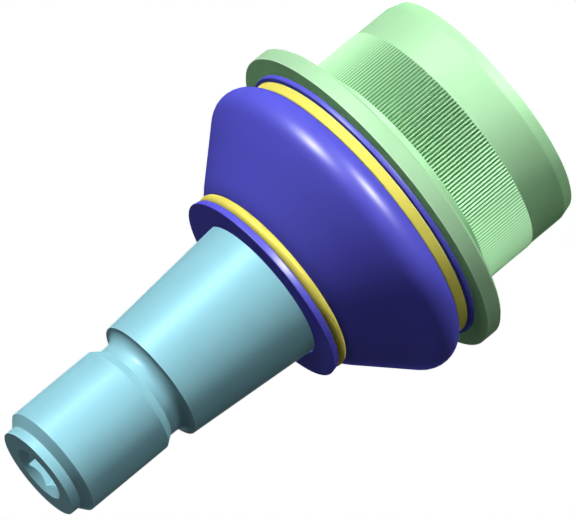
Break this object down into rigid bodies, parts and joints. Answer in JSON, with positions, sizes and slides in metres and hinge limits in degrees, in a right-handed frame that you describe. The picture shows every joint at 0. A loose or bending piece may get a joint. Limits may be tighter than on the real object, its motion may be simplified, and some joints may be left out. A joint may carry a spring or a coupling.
{
  "type": "suspension ball joint",
  "caption": "Press-in suspension ball joint: tapered ball stud in a flanged, knurled housing, sealed by a rubber boot held by two steel rings.",
  "frame": {"origin": "centre of the ball, about which the stud swings and turns", "axes": "+Z along the stud towards its threaded tip, square to the flange; two flats of the hexagon socket face -Y and +Y"},
  "size_m": [0.0534, 0.0534, 0.0874],
  "materials": {
    "coated_steel": "satin pale green coating on machined steel",
    "stud_steel": "turned and blue-passivated, pale cyan",
    "bearing_polymer": "natural polymer, semi-matt",
    "spring_steel": "blued spring steel",
    "plate_steel": "stamped and passivated, pale green",
    "boot_rubber": "smooth moulded rubber with a soft sheen, blue-violet",
    "ring_steel": "yellow-passivated steel"
  },
  "bodies": {
    "housing": {"housing": "coated_steel", "cover_plate": "plate_steel", "preload_spring": "spring_steel", "large_clamp_ring": "ring_steel", "dust_boot": "boot_rubber"},
    "bearing": {"upper_bearing": "bearing_polymer", "lower_bearing": "bearing_polymer"},
    "boot_lip": {"small_clamp_ring": "ring_steel"},
    "stud": {"ball_stud": "stud_steel"}
  },
  "joints": [
    {"name": "swing_direction", "type": "hinge", "parent": "housing", "child": "bearing", "pos_m": [0, 0, 0], "axis": [0, 0, 1], "continuous": true},
    {"name": "swing", "type": "hinge", "parent": "bearing", "child": "boot_lip", "pos_m": [0, 0, 0], "axis": [1, 0, 0], "range_deg": [-20, 20], "deforming": ["dust_boot"]},
    {"name": "stud_spin", "type": "hinge", "parent": "boot_lip", "child": "stud", "pos_m": [0, 0, 0], "axis": [0, 0, 1], "continuous": true}
  ]
}
